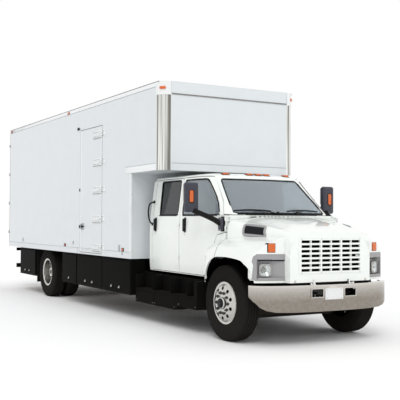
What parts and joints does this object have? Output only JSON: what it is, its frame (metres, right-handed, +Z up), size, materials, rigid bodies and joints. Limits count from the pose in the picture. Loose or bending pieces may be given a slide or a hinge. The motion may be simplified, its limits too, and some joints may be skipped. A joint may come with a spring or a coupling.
{
  "type": "box truck",
  "caption": "Crew-cab box truck with tilting hood, steered front wheels, twin rear wheels, opening cab doors and a hollow van body with side and rear doors.",
  "frame": {"origin": "on the ground under the middle of the truck's length", "axes": "+Z up, the truck faces -Y, its left side is +X"},
  "size_m": [2.756, 10.705, 3.86],
  "materials": {
    "chassis_black": "satin black chassis paint",
    "cast_iron": "rough black",
    "spring_steel": "matt black",
    "engine_grey": "rough",
    "radiator_black": "matt black fins",
    "chrome": "bright polished",
    "step_black": "satin black",
    "cab_white": "gloss white paint",
    "window_glass": "clear tinted",
    "trim_grey": "matt moulded",
    "seat_cloth": "woven cloth",
    "amber_lens": "amber lens",
    "floor_wood": "oiled boards",
    "box_white": "gloss white panel",
    "roof_aluminium": "mill finish",
    "polished_post": "polished stainless",
    "cast_corner": "pale cast corners",
    "flap_rubber": "ribbed black sheet",
    "red_lens": "red lens",
    "rear_steel": "brushed stainless",
    "skirt_black": "gloss black",
    "bezel_grey": "moulded grey",
    "lamp_glass": "clear lens",
    "tyre": "black rubber",
    "polished_rim": "polished",
    "mirror_black": "black shell"
  },
  "bodies": {
    "chassis": {"frame_rails": "chassis_black", "front_axle": "cast_iron", "rear_axle": "cast_iron", "leaf_springs": "spring_steel", "engine_block": "engine_grey", "radiator": "radiator_black", "front_bumper": "chrome", "step_boxes": "step_black", "fender_tails": "cab_white", "cab_shell": "cab_white", "cab_glass": "window_glass", "dashboard": "trim_grey", "seats": "seat_cloth", "roof_lamps": "amber_lens", "box_floor": "floor_wood", "box_right_wall": "box_white", "box_left_wall": "box_white", "box_front": "box_white", "box_roof": "roof_aluminium", "corner_posts": "polished_post", "rear_frame": "rear_steel", "skirts": "skirt_black", "rear_bumper": "chassis_black", "box_lamps": "amber_lens", "corner_castings": "cast_corner", "box_bands": "box_white", "mud_flaps": "flap_rubber", "tail_lamps": "red_lens"},
    "hood": {"hood_shell": "cab_white", "grille": "cab_white", "headlamp_bezels": "bezel_grey", "headlamps": "lamp_glass", "turn_lamps": "amber_lens", "hood_vents": "bezel_grey"},
    "side_door": {"side_door": "box_white"},
    "right_steer": {"right_knuckle": "cast_iron"},
    "right_front_wheel": {"right_front_tyre": "tyre", "right_front_rim": "polished_rim"},
    "right_rear_wheels": {"right_rear_tyres": "tyre", "right_rear_rims": "polished_rim"},
    "right_front_cab_door": {"right_front_door": "cab_white", "right_front_glass": "window_glass", "right_mirror": "mirror_black"},
    "right_rear_cab_door": {"right_rear_door": "cab_white", "right_rear_glass": "window_glass"},
    "right_back_leaf": {"right_back_door": "box_white"},
    "left_steer": {"left_knuckle": "cast_iron"},
    "left_front_wheel": {"left_front_tyre": "tyre", "left_front_rim": "polished_rim"},
    "left_rear_wheels": {"left_rear_tyres": "tyre", "left_rear_rims": "polished_rim"},
    "left_front_cab_door": {"left_front_door": "cab_white", "left_front_glass": "window_glass", "left_mirror": "mirror_black"},
    "left_rear_cab_door": {"left_rear_door": "cab_white", "left_rear_glass": "window_glass"},
    "left_back_leaf": {"left_back_door": "box_white"}
  },
  "joints": [
    {"name": "hood_tilt", "type": "hinge", "parent": "chassis", "child": "hood", "pos_m": [0, -5.2925, 0.815], "axis": [1, 0, 0], "range_deg": [0, 55]},
    {"name": "side_door_swing", "type": "hinge", "parent": "chassis", "child": "side_door", "pos_m": [-1.3075, -0.4545, 2.2], "axis": [0, 0, 1], "range_deg": [0, 165]},
    {"name": "right_steering", "type": "hinge", "parent": "chassis", "child": "right_steer", "pos_m": [-0.85, -4.3925, 0.526], "axis": [0, 0, 1], "range_deg": [-35, 35]},
    {"name": "right_front_spin", "type": "hinge", "parent": "right_steer", "child": "right_front_wheel", "pos_m": [-1.0175, -4.3925, 0.526], "axis": [1, 0, 0], "continuous": true},
    {"name": "right_rear_spin", "type": "hinge", "parent": "chassis", "child": "right_rear_wheels", "pos_m": [-0.9275, 2.7075, 0.526], "axis": [1, 0, 0], "continuous": true},
    {"name": "right_front_door_swing", "type": "hinge", "parent": "chassis", "child": "right_front_cab_door", "pos_m": [-1.008, -4.1985, 1.6], "axis": [0, 0, 1], "range_deg": [0, 68]},
    {"name": "right_rear_door_swing", "type": "hinge", "parent": "chassis", "child": "right_rear_cab_door", "pos_m": [-1.008, -2.8325, 1.3], "axis": [0, 0, 1], "range_deg": [0, 68]},
    {"name": "right_back_door_swing", "type": "hinge", "parent": "chassis", "child": "right_back_leaf", "pos_m": [-1.3015, 5.3195, 2.4], "axis": [0, 0, 1], "range_deg": [0, 250]},
    {"name": "left_steering", "type": "hinge", "parent": "chassis", "child": "left_steer", "pos_m": [0.85, -4.3925, 0.526], "axis": [0, 0, 1], "range_deg": [-35, 35]},
    {"name": "left_front_spin", "type": "hinge", "parent": "left_steer", "child": "left_front_wheel", "pos_m": [1.0175, -4.3925, 0.526], "axis": [1, 0, 0], "continuous": true},
    {"name": "left_rear_spin", "type": "hinge", "parent": "chassis", "child": "left_rear_wheels", "pos_m": [0.9275, 2.7075, 0.526], "axis": [1, 0, 0], "continuous": true},
    {"name": "left_front_door_swing", "type": "hinge", "parent": "chassis", "child": "left_front_cab_door", "pos_m": [1.008, -4.1985, 1.6], "axis": [0, 0, -1], "range_deg": [0, 68]},
    {"name": "left_rear_door_swing", "type": "hinge", "parent": "chassis", "child": "left_rear_cab_door", "pos_m": [1.008, -2.8325, 1.3], "axis": [0, 0, -1], "range_deg": [0, 68]},
    {"name": "left_back_door_swing", "type": "hinge", "parent": "chassis", "child": "left_back_leaf", "pos_m": [1.3015, 5.3195, 2.4], "axis": [0, 0, -1], "range_deg": [0, 250]}
  ],
  "couplings": [
    {"joint": "left_steering", "follows": "right_steering", "ratio": 1}
  ]
}
